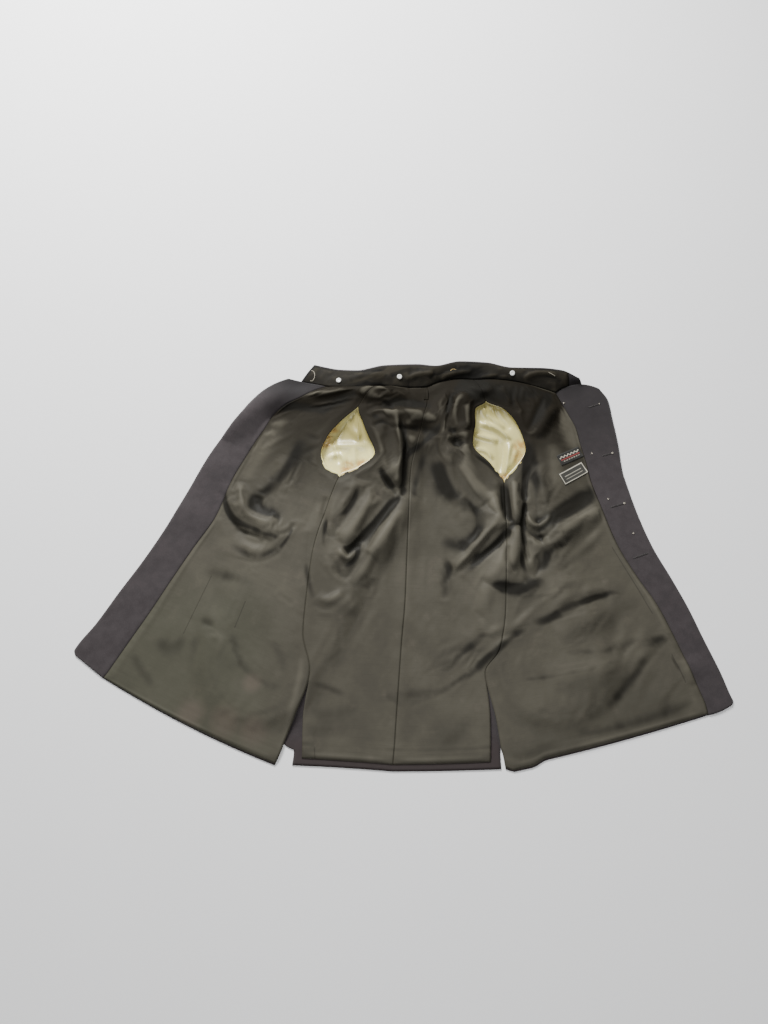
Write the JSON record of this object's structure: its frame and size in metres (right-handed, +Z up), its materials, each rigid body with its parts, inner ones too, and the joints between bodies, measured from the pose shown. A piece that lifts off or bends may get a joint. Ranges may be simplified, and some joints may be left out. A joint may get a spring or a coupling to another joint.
{
  "type": "patrol jacket",
  "caption": "Navy wool patrol jacket with a stand collar, laid open and flat with its olive satin lining up",
  "frame": {"origin": "middle of the jacket's bounding box, on the surface that it lies on", "axes": "X runs across the opened jacket from the wearer's right front to the left, Y from the hem to the collar, Z up from the surface through the lining"},
  "size_m": [1.242, 0.8159, 0.037],
  "materials": {
    "outer_wool": "matt milled wool, dark navy with a purple cast",
    "satin_lining": "dark olive grey satin with a soft sheen",
    "ivory_lining": "ivory satin sleeve lining, tan stains",
    "collar_cloth": "very dark olive collar lining, matt",
    "label_cloth": "woven label, dark ground with a cream border",
    "stud_white": "white plastic stud",
    "brass": "dull brass"
  },
  "bodies": {
    "root": {"back": "outer_wool", "back_lining_left": "satin_lining", "back_lining_right": "satin_lining", "button_1": "brass", "button_2": "brass", "button_3": "brass", "button_4": "brass", "collar": "outer_wool", "collar_hook": "brass", "collar_lining": "collar_cloth", "collar_stud_1": "stud_white", "collar_stud_2": "stud_white", "collar_stud_3": "stud_white", "hanger_loop": "satin_lining", "label_lower": "label_cloth", "label_upper": "label_cloth", "left_facing": "outer_wool", "left_front": "outer_wool", "left_front_lining": "satin_lining", "left_sleeve": "outer_wool", "left_sleeve_lining": "ivory_lining", "right_facing": "outer_wool", "right_front": "outer_wool", "right_front_lining": "satin_lining", "right_sleeve": "outer_wool", "right_sleeve_lining": "ivory_lining"}
  },
  "joints": []
}
